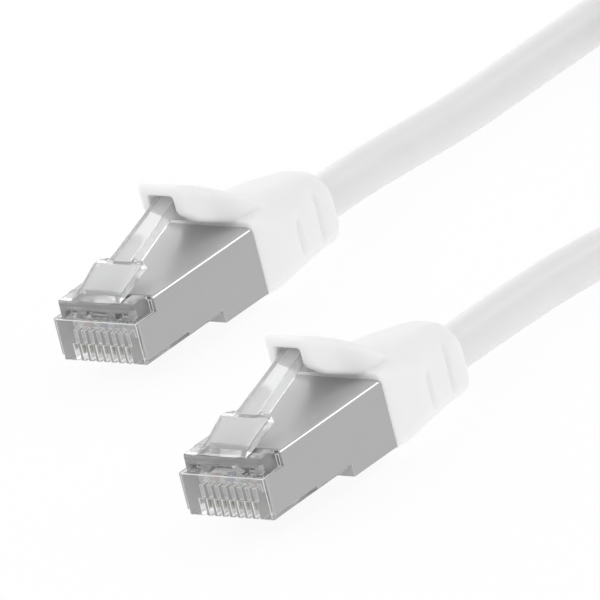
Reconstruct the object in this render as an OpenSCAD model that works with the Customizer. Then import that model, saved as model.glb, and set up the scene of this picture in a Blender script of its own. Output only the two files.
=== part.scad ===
// Ethernet patch cable: two shielded eight-contact plugs with moulded boots, on one coiled white cord.
// A plug is drawn in its own frame: x across, y back from its front face, z up from the table.

/* [Plug] */
// Outside width of the metal shield
plug_w = 11.7; // [11.4:0.1:12.4]
// Length of the clear housing, from its front face
plug_len = 21.4; // [21:0.1:22]
// Height from the nose's underside to the shield's top
plug_h = 6.45; // [6.3:0.05:6.9]
// Height of the nose's underside above the table
nose_lift = 2.3; // [2.1:0.1:2.8]
// Depth of the clear nose in front of the shield's top plate
nose_len = 3.2; // [3:0.1:3.3]
// Width of the raised nose block under the latch's root
nose_w = 10.2; // [9.2:0.1:10.4]
// Height of the shelf beside the nose block, above the nose's underside
shelf_h = 4.75; // [4.5:0.05:5]
// Radius of the nose's lower front edge
nose_r = 0.3; // [0.2:0.1:1]

/* [Shield] */
// Thickness of the shield's sheet metal
shield_t = 0.3; // [0.2:0.05:0.35]
// Gap between the shield and the housing
shield_fit = 0.05; // [0.03:0.01:0.1]
// Outside radius of the shield's long bends
shield_r = 0.45; // [0.4:0.05:0.8]
// Distance from the front face to the shield's top plate
plate_y = 3.65; // [3.5:0.05:4]
// Distance from the front face to the drop in the shield's underside
drop_y = 13.15; // [12.5:0.05:14]
// How far the shield's rear half drops below the nose's underside
rear_drop = 1.1; // [0.8:0.05:1.3]
// Length of the crimp collar that holds the cable
collar_len = 4; // [2.5:0.5:4.5]

/* [Contacts and wires] */
// Distance between neighbouring contacts
contact_pitch = 1.016; // [1:0.004:1.04]
// Thickness of a contact blade
contact_t = 0.35; // [0.25:0.05:0.45]
// Length of a contact blade
contact_len = 4.8; // [4.2:0.1:5]
// Height of a contact's shoulder above the nose's underside
contact_h = 2.2; // [1.9:0.05:2.4]
// Gap at each side of a contact blade
contact_fit = 0.1; // [0.05:0.01:0.15]
// Outside diameter of an insulated wire
wire_d = 0.92; // [0.8:0.02:0.94]
// Height of the row of wires above the nose's underside
wire_h = 3.4; // [3.3:0.05:3.5]
// Length of the bar that holds the wires in a row
bar_len = 4.5; // [3:0.1:4.7]
// Gap around the bar and around each wire in it
bar_fit = 0.06; // [0.04:0.01:0.1]

/* [Latch] */
// Width of the latch at its shoulders
latch_w = 6.1; // [5.6:0.1:6.4]
// Width of the latch's tail behind the shoulders
tail_w = 3.2; // [2.9:0.1:3.3]
// Width of the latch's tail at its tip
tip_w = 2.8; // [2.4:0.1:2.9]
// Thickness of the latch's tail
latch_t = 1.3; // [1:0.1:1.4]
// Distance from the front face to the latch's hinge line
latch_y = 2.5; // [2.3:0.1:2.6]
// Distance from the hinge line to the rear of the shoulders
shoulder_len = 3.95; // [3.6:0.05:4.4]
// Distance from the hinge line to the latch's tip
latch_len = 12.7; // [12.3:0.1:12.9]
// Height of the latch's tip above its hinge line
latch_rise = 5.3; // [5.2:0.1:5.5]
// Radius of the latch's root on its hinge line
latch_r = 0.45; // [0.35:0.05:0.5]
// Clearance round the latch's root
latch_fit = 0.1; // [0.06:0.02:0.14]

/* [Boot] */
// Distance from the plug's front face to the boot
boot_y = 20.4; // [20:0.1:20.6]
// Length of the boot
boot_len = 15.6; // [15:0.2:18]
// How far the boot stands out beside the shield
boot_lip = 0.12; // [0.08:0.02:0.4]
// How far the boot stands up above the shield
boot_brow = 0.75; // [0.6:0.05:0.9]
// Width of the boot at its rear rim
rim_w = 8.3; // [8:0.1:9.4]
// Height of the boot at its rear rim
rim_h = 7.9; // [7.6:0.1:8.6]
// Radius of the rear rim's edge
rim_r = 0.8; // [0.4:0.1:1]
// Wall of the boot under the cable
boot_wall = 1.1; // [1:0.05:1.3]
// Depth of the two grip grooves
groove_d = 0.4; // [0.2:0.05:0.5]

/* [Tongue] */
// Width of the tongue over the latch
tongue_w = 6; // [5.6:0.1:6.4]
// Thickness of the tongue above the latch's tip
tongue_t = 1.1; // [0.9:0.1:1.4]
// Gap between the latch's tip and the tongue
tongue_gap = 0.4; // [0.35:0.05:0.6]
// How far the tongue reaches in front of the latch's tip
tongue_lap = 1; // [0.4:0.1:1.2]
// How far the tongue's sides hang below the latch's tip
tongue_skirt = 1.5; // [0.8:0.1:1.6]
// How much the tongue's top rounds over at its root
tongue_crown = 0.7; // [0.3:0.1:0.9]
// Gap at each side of the latch's tail in the tongue's channel
tail_gap = 0.3; // [0.2:0.05:0.4]
// Radius of the tongue's root on its flex line
root_r = 1.45; // [1.3:0.05:1.5]
// Clearance round the tongue's root
root_fit = 0.1; // [0.06:0.02:0.16]

/* [Cable] */
// Outside diameter of the cable
cable_d = 5; // [4.6:0.1:5]
// Wall of the cable's jacket
jacket_wall = 0.45; // [0.4:0.05:0.5]
// Thickness of the foil screen
foil_t = 0.1; // [0.06:0.02:0.12]
// Gap between the layers of the cable
layer_gap = 0.05; // [0.03:0.01:0.06]
// Distance across from one plug to the other
plugs_dx = 42.6; // [36:0.1:50]
// Distance that one plug lies in front of the other
plugs_dy = 32.5; // [20:0.1:40]
// Straight run of the cord from the rear plug's boot to the coil
lead_len = 66.75; // [55:0.25:80]

/* [Coil] */
// Turns in each of the coil's two layers
layer_turns = 2; // [1:1:3]
// Radius of the outermost turn
coil_r = 34; // [30:0.5:36]
// Step from one turn or layer to the next
coil_step = 5.6; // [5.5:0.1:6.2]
// Width of the tie strap
tie_w = 10; // [6:0.5:12]
// Thickness of the tie strap
tie_t = 1; // [0.6:0.1:1.2]
// Gap between the tie strap and the coil
tie_gap = 0.3; // [0.25:0.05:0.5]

/* [Hidden] */
$fn = 48;
ends = ["a", "b"];
contacts = 8;
over = 1; // overshoot of a cut past a face
sweep_sides = 8;

// Heights and half widths shared by the plug's pieces
shield_hw = plug_w / 2;
house_hw = shield_hw - shield_t - shield_fit;
shield_top = nose_lift + plug_h;
shield_low = nose_lift - rear_drop;
roof_z = shield_top - shield_t - shield_fit;
nose_top = shield_top + 0.15;
shelf_z = nose_lift + shelf_h;
house_low = shield_low + shield_t + shield_fit;
house_drop_y = drop_y + shield_t + shield_fit;
axis_z = boot_wall + cable_d / 2;

// Contacts, their slots and the row of wires above them
wire_z = nose_lift + wire_h;
wire_r = wire_d / 2;
contact_y = 0.8; // front of the blades
contact_low = nose_lift + 0.45;
contact_top = nose_lift + contact_h;
spike_top = wire_z - 0.15; // the tips bite into the wires
spike_w = 0.5;
spike_places = [contact_y + 1.8, contact_y + contact_len - 0.8];
slot_w = contact_t + 2 * contact_fit;
slot_h = 2; // open height of a slot in the front face
row_hw = (contacts - 1) * contact_pitch / 2 + wire_r;
bar_hw = row_hw + 0.35;
bar_hh = wire_r + 0.25;
bar_y = contact_y + contact_len + 0.6;
fan_y = bar_y + bar_len + 0.2; // where the wires leave the bar
split_y = fan_y + 3.6; // where they lie in two rows
split_h = 0.6; // half the distance between those rows
bundle_y = plug_len + 1.2; // where they enter the cable
bundle_r = 1.3;

// Latch, seen from the side
latch_z = shield_top + 0.35;
shoulder_y = latch_y + shoulder_len;
tip_y = latch_y + latch_len;
tip_z = latch_z + latch_rise;
shoulder_z = tip_z - 0.35 * (latch_len - shoulder_len);

// Cable and crimp inside the boot
jacket_r = cable_d / 2;
foil_r = jacket_r - jacket_wall - layer_gap;
cuff_r = jacket_r + layer_gap;
collar_r = cuff_r + foil_t + layer_gap;
jacket_y = bundle_y + 0.4;
collar_y = jacket_y + 1;
collar_end = collar_y + collar_len;
end_len = boot_y + boot_len; // front face to the boot's rear rim

// Tongue: its flex line, and its top line over the latch's tip
root_y = boot_y + 2.6;
root_z = shield_top + 1.3;
knee_y = root_y - 2.25;
knee_z = root_z + 3.25;
lid_z = tip_z + tongue_gap + tongue_t;
lid_slope = (lid_z - knee_z) / (knee_y - tip_y);
front_y = tip_y - tongue_lap;
channel_hw = tip_w / 2 + 0.1 + tail_gap;
channel_y = tip_y + 2.2; // rear of the channel, where the tip slides to when pressed
brow_z = shield_top + boot_brow;

// Loft of the boot: a ring of points every groove_step
groove_step = 0.6;
groove_places = [8.4, 12.6]; // distances behind the boot's front
corner_steps = 4;
crown_steps = 8;
lead_in = 0.25; // share of the length over which the underside drops to the table
taper_rate = 1.1; // the sides reach the rim's width this many times sooner than the rim
brow_share = 0.42; // share of the length that keeps the brow's height
brow_fall = 1.7; // power of the fall from the brow to the rim
low_radii = [0.5, 2.2]; // lower corners at the front and behind the lead-in
high_radii = [0.8, 3.6]; // upper corners at the front and half way back
hump_h = 1.9; // height of the hump behind the tongue
hump_run = 2.8; // length in which the hump dies away

// Cord: two leads that lie down behind the boots, and the coil between them
coil_at = [coil_r - plugs_dx / 2, (plugs_dy + end_len) / 2 + lead_len + cable_d];
coil_rings = 24; // rings in each turn
coil_sides = 6;
lead_sides = 10;
// Route of a lead at even steps back to the coil, chosen by hand: shares of its swing across, of its drop
// to the table and of its climb to the coil
lead_route = [
    [0, 0, 0], [0, 0, 0], [0, 0.08, 0], [0, 0.3, 0], [0.025, 0.58, 0],
    [0.1, 0.84, 0], [0.215, 0.99, 0.01], [0.35, 1, 0.1], [0.5, 1, 0.27], [0.65, 1, 0.48],
    [0.79, 1, 0.69], [0.905, 1, 0.87], [0.975, 1, 0.98], [1, 1, 1], [1, 1, 1]
];
tie_lift = tie_t + tie_gap + 0.1; // the coil rides up over the strap

plug_pieces = ["housing", "latch", "shield", "load_bar", "foil", "jacket_end", "boot", "tongue"];

// Small helpers
function mix(a, b, t) = a + (b - a) * t;
function limit(t) = max(0, min(1, t));
function ease(t) = let (u = limit(t)) u * u * (3 - 2 * u);
function row_x(i) = (i - (contacts + 1) / 2) * contact_pitch;
function unit(v) = v / norm(v);
function end_side(e) = e == "a" ? -1 : 1;

module along_y(y0, y1) { translate([0, y1, 0]) rotate([90, 0, 0]) linear_extrude(y1 - y0) children(); }
module across_x(w) { translate([-w / 2, 0, 0]) rotate([90, 0, 90]) linear_extrude(w) children(); }
module rod_x(w, r, y, z) { translate([-w / 2, y, z]) rotate([0, 90, 0]) cylinder(r = r, h = w); }
module rod_y(r, y0, y1) { translate([0, y0, axis_z]) rotate([-90, 0, 0]) cylinder(r = r, h = y1 - y0); }
module block(hw, y0, y1, z0, z1) { translate([-hw, y0, z0]) cube([2 * hw, y1 - y0, z1 - z0]); }

// An upright outline with round upper corners, in x and z
module arch(hw, z0, z1, r) {
    translate([-hw, z0]) square([2 * hw, z1 - z0 - r]);
    translate([-hw + r, z0]) square([2 * (hw - r), z1 - z0]);
    for (side = [-1, 1]) translate([side * (hw - r), z1 - r]) circle(r);
}

// A closed skin over rings of points, all rings with the same count
module skin(rings) {
    n = len(rings[0]);
    last = len(rings) - 1;
    polyhedron(
        points = [for (ring = rings) each ring],
        faces = concat(
            [for (k = [0:last - 1]) for (j = [0:n - 1])
                [k * n + j, (k + 1) * n + (j + 1) % n, (k + 1) * n + j]],
            [for (k = [0:last - 1]) for (j = [0:n - 1])
                [k * n + j, k * n + (j + 1) % n, (k + 1) * n + (j + 1) % n]],
            [for (j = [1:n - 2]) [0, j + 1, j]],
            [for (j = [1:n - 2]) [last * n, last * n + j, last * n + j + 1]]
        )
    );
}

// Rings square to a route, each with one point at its lowest
function heading(p, k) = unit(p[min(k + 1, len(p) - 1)] - p[max(k - 1, 0)]);
function hoop(at, dir, r, n) =
    let (side = unit(cross(dir, [0, 0, 1])), up = cross(side, dir))
    [for (j = [0:n - 1]) let (a = 360 * j / n - 90) at + r * (cos(a) * side + sin(a) * up)];
module tube(p, r, n) { skin([for (k = [0:len(p) - 1]) hoop(p[k], heading(p, k), r, n)]); }

// Clear housing with its contact slots and the room for the wires
module housing() {
    color([0.86, 0.9, 0.92, 0.45]) difference() {
        union() {
            across_x(2 * house_hw) polygon([
                [0, nose_lift], [house_drop_y, nose_lift], [house_drop_y, house_low], [plug_len, house_low],
                [plug_len, roof_z], [nose_len, roof_z], [nose_len, shelf_z], [0, shelf_z]
            ]);
            block(nose_w / 2, 0.4, nose_len, shelf_z, nose_top);
        }
        nose_edge();
        for (i = [1:contacts]) translate([row_x(i), 0, 0]) contact_slot();
        wire_room();
        nose_pockets();
        rod_x(latch_w + 2 * latch_fit, latch_r + latch_fit, latch_y, latch_z);
        block(latch_w / 2 + latch_fit, latch_y, nose_len + over, roof_z, nose_top + over);
    }
}

module nose_edge() {
    difference() {
        block(shield_hw, -over, nose_r, nose_lift - over, nose_lift + nose_r);
        rod_x(plug_w + over, nose_r, nose_r, nose_lift + nose_r);
    }
}

module contact_slot() {
    slot_end = contact_y + contact_len + contact_fit;
    block(slot_w / 2, -over, slot_end, nose_lift - over, nose_lift + slot_h);
    block(slot_w / 2, contact_y - contact_fit, slot_end, nose_lift, wire_z);
}

module wire_room() {
    room_hw = bar_hw + bar_fit;
    block(room_hw, 2, fan_y + over, wire_z - bar_hh - bar_fit, wire_z + bar_hh + bar_fit);
    block(room_hw, fan_y, plug_len + over, wire_z - split_h - wire_r - 0.2, roof_z - 0.8);
    block(room_hw, house_drop_y + 0.6, plug_len + over, house_low + 0.3, wire_z);
}

// Two square pockets and a window in the front of the nose block
module nose_pockets() {
    deep = 1.6;
    low = shelf_z + 0.05;
    high = low + 0.9;
    pocket_x = 3.5;
    pocket_hw = 0.9;
    window_low_hw = 2;
    window_high_hw = 1.4;
    for (side = [-1, 1]) translate([side * pocket_x, 0, 0]) block(pocket_hw, -over, deep, low, high);
    along_y(-over, deep) polygon([
        [-window_low_hw, low], [window_low_hw, low], [window_high_hw, high], [-window_high_hw, high]
    ]);
}

// Clear sprung latch: a wide root and shoulders, then a narrow tail that tapers to its tip
module latch() {
    color([0.86, 0.9, 0.92, 0.45]) {
        intersection() {
            across_x(latch_w) polygon([
                [latch_y - 0.1, latch_z + latch_r - 0.05], [shoulder_y, shoulder_z], [tip_y, tip_z],
                [tip_y, tip_z - latch_t], [shoulder_y, shoulder_z - latch_t],
                [latch_y + 1.25, latch_z + 0.15], [latch_y + 0.3, latch_z - 0.1]
            ]);
            translate([0, 0, latch_z - over]) linear_extrude(latch_rise + 2 * over) polygon([
                [-latch_w / 2, 0], [-latch_w / 2, shoulder_y], [-tail_w / 2, shoulder_y],
                [-tip_w / 2, tip_y], [tip_w / 2, tip_y], [tail_w / 2, shoulder_y],
                [latch_w / 2, shoulder_y], [latch_w / 2, 0]
            ]);
        }
        rod_x(latch_w, latch_r, latch_y, latch_z);
    }
}

// One stamped contact with a round nose and two tips that bite into its wire
module contact() {
    nose = 0.6;
    spike_low = contact_top - 0.2;
    color("goldenrod") {
        across_x(contact_t) polygon(concat(
            [for (a = [270:-15:180])
                [contact_y + nose + nose * cos(a), contact_low + nose + nose * sin(a)]],
            [[contact_y, contact_top], [contact_y + contact_len, contact_top],
                [contact_y + contact_len, contact_low]]
        ));
        for (y = spike_places) across_x(contact_t)
            polygon([[y - spike_w / 2, spike_low], [y + spike_w / 2, spike_low], [y, spike_top]]);
    }
}

// One insulated wire: straight in the row, then into two rows, then into the round of the cable
wire_colours = ["orange", "darkorange", "palegreen", "blue", "lightblue", "green", "tan", "saddlebrown"];
function bundle_angle(i) = i % 2 == 1 ? 202.5 + 22.5 * (i - 1) : 157.5 - 22.5 * (i - 2);
function wire_point(i, y) =
    let (
        apart = ease((y - fan_y) / (split_y - fan_y)),
        close = ease((y - split_y) / (bundle_y - split_y)),
        row_z = wire_z + (i % 2 == 1 ? -1 : 1) * split_h * apart
    )
    [
        mix(row_x(i), bundle_r * cos(bundle_angle(i)), close), y,
        mix(row_z, axis_z + bundle_r * sin(bundle_angle(i)), close)
    ];
module wire(i) {
    stops = concat(
        [2.2, fan_y], [for (k = [1:3]) mix(fan_y, split_y, k / 3)],
        [for (k = [1:6]) mix(split_y, bundle_y, k / 6)], [end_len]
    );
    color(wire_colours[i - 1]) difference() {
        skin([for (y = stops) let (c = wire_point(i, y)) [for (j = [0:sweep_sides - 1])
            let (a = 360 * j / sweep_sides) c + wire_r * [cos(a), 0, sin(a)]]]);
        for (y = spike_places) translate([row_x(i), y, 0])
            block(contact_t / 2 + 0.02, -spike_w / 2, spike_w / 2, contact_top, spike_top + 0.05);
    }
}

// Clear bar with a hole for each wire
module load_bar() {
    color([0.8, 0.86, 0.9, 0.5]) difference() {
        block(bar_hw, bar_y, bar_y + bar_len, wire_z - bar_hh, wire_z + bar_hh);
        for (i = [1:contacts]) translate([row_x(i), bar_y - over, wire_z]) rotate([-90, 0, 0])
            cylinder(r = wire_r + 0.02, h = bar_len + 2 * over, $fn = sweep_sides);
    }
}

// Stamped shield: a bent box open at the front and below, with a tail that crimps the cable
module shield() {
    front = 0.15;
    rear = plug_len;
    notch_y = nose_len + 0.1; // the nose block stands in front of this
    hem_y = 7.3; // the side's lower edge steps down here
    hem_front = nose_lift + 0.6;
    hem_rear = nose_lift + 0.3;
    color("silver") {
        difference() {
            intersection() {
                along_y(0, rear) difference() {
                    arch(shield_hw, shield_low, shield_top, shield_r);
                    arch(shield_hw - shield_t, shield_low + shield_t, shield_top - shield_t,
                        shield_r - shield_t);
                }
                across_x(plug_w + over) polygon([
                    [front, hem_front], [hem_y, hem_front], [hem_y, hem_rear], [drop_y, hem_rear],
                    [drop_y, shield_low], [rear, shield_low], [rear, shield_top], [notch_y, shield_top],
                    [notch_y, shelf_z], [front, shelf_z]
                ]);
            }
            block(shield_hw - shield_r, -over, plate_y, roof_z - over, shield_top + over);
        }
        block(shield_hw - shield_t / 2, drop_y, drop_y + shield_t, shield_low, nose_lift - shield_fit);
        crimp_tail();
    }
}

// Strip from the shield's floor down to a split collar round the cable
module crimp_tail() {
    collar_low = axis_z - collar_r - shield_t;
    strip_w = 1.8;
    lap = 0.4; // overlap of the strip with the shield's floor and with the collar
    strip = [
        [plug_len - lap, shield_low], [plug_len, shield_low], [jacket_y - lap, collar_low],
        [collar_y + lap, collar_low]
    ];
    across_x(strip_w) polygon(concat(strip, [for (k = [3:-1:0]) strip[k] + [0, shield_t]]));
    difference() {
        rod_y(collar_r + shield_t, collar_y, collar_end);
        rod_y(collar_r, collar_y - over, collar_end + over);
        block(0.5, collar_y - over, collar_end + over, axis_z, axis_z + 2 * collar_r);
    }
}

// Foil screen of the cable, folded back over the jacket under the crimp
module foil() {
    fold = layer_gap + foil_t;
    color("lightgray") translate([0, 0, axis_z]) rotate([-90, 0, 0]) rotate_extrude() polygon([
        [foil_r - foil_t, jacket_y - fold], [cuff_r + foil_t, jacket_y - fold],
        [cuff_r + foil_t, collar_end], [cuff_r, collar_end], [cuff_r, jacket_y - layer_gap],
        [foil_r, jacket_y - layer_gap], [foil_r, end_len], [foil_r - foil_t, end_len]
    ]);
}

// End of the cable's jacket inside the boot
module jacket_end() {
    color("whitesmoke") difference() {
        rod_y(jacket_r, jacket_y, end_len);
        rod_y(jacket_r - jacket_wall, jacket_y - over, end_len + over);
    }
}

// Outline of the boot at a distance behind its front: a round-cornered box with a hump along its top
function groove(s) = let (near = [for (g = groove_places) exp(-pow((s - g) / (0.7 * groove_step), 2))])
    groove_d * max(near);
function rim_inset(s) = let (d = min(rim_r, max(0, s - boot_len + rim_r)))
    rim_r - sqrt(rim_r * rim_r - d * d);
function corner(cx, cz, r, a0) =
    [for (k = [0:corner_steps]) let (a = a0 + 90 * k / corner_steps) [cx + r * cos(a), cz + r * sin(a)]];
function boot_ring(s) =
    let (
        t = s / boot_len,
        inset = rim_inset(s) + groove(s),
        hw = mix(shield_hw + boot_lip, rim_w / 2, ease(taper_rate * t)) - inset,
        low = mix(shield_low - boot_lip, 0, limit(t / lead_in)) + rim_inset(s),
        fall = pow(limit((t - brow_share) / (1 - brow_share)), brow_fall),
        high = mix(brow_z, rim_h, fall) - rim_inset(s),
        low_r = mix(low_radii[0], low_radii[1], limit(t / lead_in)),
        high_r = min(hw - 0.2, mix(high_radii[0], high_radii[1], ease(2 * t))),
        behind = s - root_y + boot_y, // distance behind the tongue's flex line
        hump = hump_h * exp(-behind / hump_run) * ease((behind + 1) / 0.8),
        hump_hw = tongue_w / 2 + 0.2 + 0.5 * max(0, behind),
        outline = concat(
            corner(-hw + low_r, low + low_r, low_r, 180), corner(hw - low_r, low + low_r, low_r, 270),
            corner(hw - high_r, high - high_r, high_r, 0),
            [for (k = [1:crown_steps - 1]) [mix(hw - high_r, -hw + high_r, k / crown_steps), high]],
            corner(-hw + high_r, high - high_r, high_r, 90)
        )
    )
    [for (p = outline) let (u = min(1, abs(p[0] / hump_hw)))
        [p[0], boot_y + s, p[1] + (p[1] > high - high_r ? hump * pow(1 - u * u, 2) : 0)]];

// Floor of the tongue's seat in the boot
seat_z = shield_top + 0.4;

// Moulded boot around the shield's rear, the crimp and the cable
module boot() {
    fit = 0.04;
    seat_hw = tongue_w / 2 + root_fit;
    rings = ceil(boot_len / groove_step);
    color("white") difference() {
        skin([for (k = [0:rings]) boot_ring(min(boot_len, k * groove_step))]);
        block(shield_hw + fit, boot_y - over, plug_len + fit, shield_low - fit, shield_top + fit);
        rod_y(collar_r + shield_t + 0.15, plug_len - over, collar_end + fit);
        rod_y(jacket_r + 0.02, collar_end - over, end_len + over);
        rod_x(2 * seat_hw, root_r + root_fit, root_y, root_z);
        block(seat_hw, boot_y - over, root_y, seat_z, root_z + 4);
    }
}

// Springy tongue of the boot that guards the latch: it bends down on its root and presses the tip
function tongue_top(y) = y < knee_y ? knee_z + lid_slope * (knee_y - y)
    : mix(knee_z, root_z + root_r - 0.1, (y - knee_y) / (root_y - knee_y));
function tongue_low(y) = max(
    mix(tip_z - tongue_skirt, brow_z, (y - front_y) / (boot_y - front_y)),
    seat_z + 0.05 + swing_rise * (root_y - y));
tongue_nip = 0.3; // eased front edge
swing_rise = 0.31; // slope under the tongue that leaves room for its swing
function tongue_ring(y) =
    let (
        nip = y > front_y ? 0 : tongue_nip,
        hw = tongue_w / 2 - nip,
        low = tongue_low(y) + nip,
        high = tongue_top(y) - nip,
        crown = tongue_crown * ease((y - tip_y) / (knee_y - tip_y)),
        r = min(0.6, (high - low - crown) / 2.1),
        outline = concat(
            corner(-hw + r, low + r, r, 180), corner(hw - r, low + r, r, 270),
            corner(hw - r, high - r, r, 0),
            [for (k = [1:crown_steps - 1]) [mix(hw - r, r - hw, k / crown_steps), high]],
            corner(-hw + r, high - r, r, 90)
        )
    )
    [for (p = outline) [p[0], y, p[1] - (p[1] < high - r ? 0 : crown * pow(p[0] / hw, 2))]];
module tongue() {
    steps = 8;
    along = [for (k = [0:steps]) mix(front_y + tongue_nip, knee_y, k / steps)];
    places = concat([front_y], along, [root_y]);
    color("white") {
        difference() {
            skin([for (y = places) tongue_ring(y)]);
            across_x(2 * channel_hw) polygon([
                [front_y - over, lid_z - tongue_t + lid_slope * (tip_y - front_y + over)],
                [channel_y, lid_z - tongue_t - lid_slope * (channel_y - tip_y)],
                [channel_y, latch_z], [front_y - over, latch_z]
            ]);
        }
        rod_x(tongue_w, root_r, root_y, root_z);
    }
}

// Coil of the cord, as turns counted from where the cord comes in: in below, up a layer, out above
coil_turns = 2 * layer_turns + 0.5;
coil_inner = coil_r - layer_turns * coil_step;
function coil_radius(t) = let (u = t - layer_turns)
    u < 0 ? coil_inner - u * coil_step
    : u > 0.5 ? coil_inner + (u - 0.5) * coil_step
    : coil_inner - coil_step * u * (1 - 2 * u);
function coil_point(t) =
    let (a = 180 - 360 * t, lift = tie_lift * pow(max(0, -sin(a)), 6))
    [
        coil_at[0] + coil_radius(t) * cos(a), coil_at[1] + coil_radius(t) * sin(a),
        jacket_r + coil_step * ease((t - layer_turns) * 2) + lift
    ];
coil_points = concat(
    [coil_point(0) - [0, cable_d, 0]],
    [for (k = [0:coil_turns * coil_rings]) coil_point(k / coil_rings)],
    [coil_point(coil_turns) - [0, cable_d, 0]]
);

// A lead runs straight from its boot, sinks to the table, then swings and climbs to its end of the coil
function lead_point(p, q, way, share) = [
    mix(p[0], q[0], share[0]), mix(p[1], q[1], way),
    mix(mix(p[2], jacket_r, share[1]), q[2], share[2])
];
function lead_points(e) =
    let (
        side = end_side(e),
        p = [side * plugs_dx / 2, (end_len - side * plugs_dy) / 2, axis_z],
        q = e == "a" ? coil_points[0] : coil_points[len(coil_points) - 1],
        last = len(lead_route) - 1
    )
    [for (k = [0:last]) lead_point(p, q, k / last, lead_route[k])];

// Sizes to read off: the gap between turns, and the length of cord between the boots
function near_misses(p, k0) =
    [for (i = [0:len(p) - 1 - k0]) for (j = [i + k0:len(p) - 1]) norm(p[i] - p[j])];
function run(p) = [for (k = [1:len(p) - 1]) norm(p[k] - p[k - 1])] * [for (k = [1:len(p) - 1]) 1];
echo(coil_gap = min(near_misses(coil_points, coil_rings / 2)) - cable_d);
echo(cord_length = run(lead_points("a")) + run(coil_points) + run(lead_points("b")));

module cord(points, sides) { color("whitesmoke") tube(points, jacket_r, sides); }

// Strap round the coil on the side that faces the plugs
module coil_tie() {
    slack = tie_w * tie_w / (8 * coil_inner) + tie_gap;
    near = coil_inner + 0.25 * coil_step - jacket_r - slack;
    far = coil_radius(0.75) + jacket_r + tie_gap;
    high = 2 * jacket_r + coil_step + tie_lift + tie_gap;
    r = 2;
    color("gainsboro") translate([coil_at[0], coil_at[1], 0]) across_x(tie_w) difference() {
        strap_outline(-far - tie_t, -near + tie_t, 0, high + tie_t, r + tie_t);
        strap_outline(-far, -near, tie_t, high, r);
    }
}
module strap_outline(y0, y1, z0, z1, r) {
    translate([y0 + r, z0]) square([y1 - y0 - 2 * r, z1 - z0]);
    translate([y0, z0 + r]) square([y1 - y0, z1 - z0 - 2 * r]);
    for (y = [y0 + r, y1 - r]) for (z = [z0 + r, z1 - r]) translate([y, z]) circle(r);
}

// Both plugs point to -y; the origin is on the table, midway between them
module at_end(e) {
    side = end_side(e);
    translate([side * plugs_dx / 2, -(side * plugs_dy + end_len) / 2, 0]) children();
}

for (e = ends) at_end(e) {
    housing();
    latch();
    shield();
    load_bar();
    foil();
    jacket_end();
    boot();
    tongue();
    for (i = [1:contacts]) {
        translate([row_x(i), 0, 0]) contact();
        wire(i);
    }
}
cord(lead_points("a"), lead_sides);  // cable_lead_a
cord(coil_points, coil_sides);  // cable_coil
cord(lead_points("b"), lead_sides);  // cable_lead_b
coil_tie();
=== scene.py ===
import bmesh
import bpy
import numpy as np
from mathutils import Matrix, Vector


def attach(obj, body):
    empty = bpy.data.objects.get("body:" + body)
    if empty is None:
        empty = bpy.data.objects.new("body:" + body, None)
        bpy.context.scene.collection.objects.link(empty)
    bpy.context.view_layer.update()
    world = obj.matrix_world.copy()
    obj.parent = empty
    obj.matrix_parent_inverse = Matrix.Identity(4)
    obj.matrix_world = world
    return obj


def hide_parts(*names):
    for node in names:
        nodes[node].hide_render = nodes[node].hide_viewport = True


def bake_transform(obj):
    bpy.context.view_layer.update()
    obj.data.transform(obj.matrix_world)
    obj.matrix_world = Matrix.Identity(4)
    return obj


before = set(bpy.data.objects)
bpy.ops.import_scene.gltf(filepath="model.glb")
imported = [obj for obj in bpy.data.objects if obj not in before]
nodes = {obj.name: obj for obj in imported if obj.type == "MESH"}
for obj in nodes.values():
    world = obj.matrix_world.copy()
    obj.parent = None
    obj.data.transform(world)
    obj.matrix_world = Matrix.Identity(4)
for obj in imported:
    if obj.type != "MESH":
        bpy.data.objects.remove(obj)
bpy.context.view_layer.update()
mm = 0.001
plugFronts = {"a": (-21.3, -1.75), "b": (21.3, -34.25)}  # middle of each plug's front face on the table, mm
print("frame loaded:", len(nodes), "nodes")


# small helpers
def mix(a, b, t):
    return a + (b - a) * t


def ease(t):
    # a soft step from 0 to 1: three times the square less twice the cube
    u = np.clip(t, 0, 1)
    return u * u * (3 - 2 * u)


def onLine(points, place):
    # the value at each place on a line drawn through (place, value) points
    return np.interp(place, *zip(*points))


def gridFaces(rows, cols):
    # quads between neighbouring rows and columns; the last column joins the first
    idx = np.arange(rows * cols).reshape(rows, cols)
    right = np.roll(idx, -1, axis=1)
    return np.stack([idx[:-1], right[:-1], right[1:], idx[1:]], axis=-1).reshape(-1, 4)


def endCaps(rows, cols, base=0):
    # the first row backwards and the last row forwards, which close a tube
    last = base + (rows - 1) * cols
    return range(base + cols - 1, base - 1, -1), range(last, last + cols)


def meshFromArrays(name, points, faces, uv=None, caps=()):
    # points in mm, faces as an array of quads, caps as extra rings of indices
    mesh = bpy.data.meshes.new(name)
    mesh.from_pydata((points.reshape(-1, 3) * mm).tolist(), [], faces.tolist() + [list(c) for c in caps])
    if uv is not None:
        layer = mesh.uv_layers.new(name="surface")
        flat = np.zeros((len(mesh.loops), 2))
        flat[: len(uv)] = uv
        layer.data.foreach_set("uv", flat.ravel())
    mesh.validate()
    mesh.update()
    return mesh


def addObject(name, mesh):
    obj = bpy.data.objects.new(name, mesh)
    bpy.context.scene.collection.objects.link(obj)
    return obj


def smoothShade(mesh, degrees):
    mesh.shade_smooth()
    mesh.set_sharp_from_angle(angle=np.radians(degrees))


def bakeModifiers(obj):
    # puts the evaluated shape into the mesh and drops the modifiers
    graph = bpy.context.evaluated_depsgraph_get()
    mesh = bpy.data.meshes.new_from_object(obj.evaluated_get(graph))
    old = obj.data
    obj.modifiers.clear()
    obj.data = mesh
    mesh.name = obj.name
    bpy.data.meshes.remove(old)


def faceOutwards(mesh):
    bm = bmesh.new()
    bm.from_mesh(mesh)
    bmesh.ops.recalc_face_normals(bm, faces=bm.faces)
    bm.to_mesh(mesh)
    bm.free()


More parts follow.
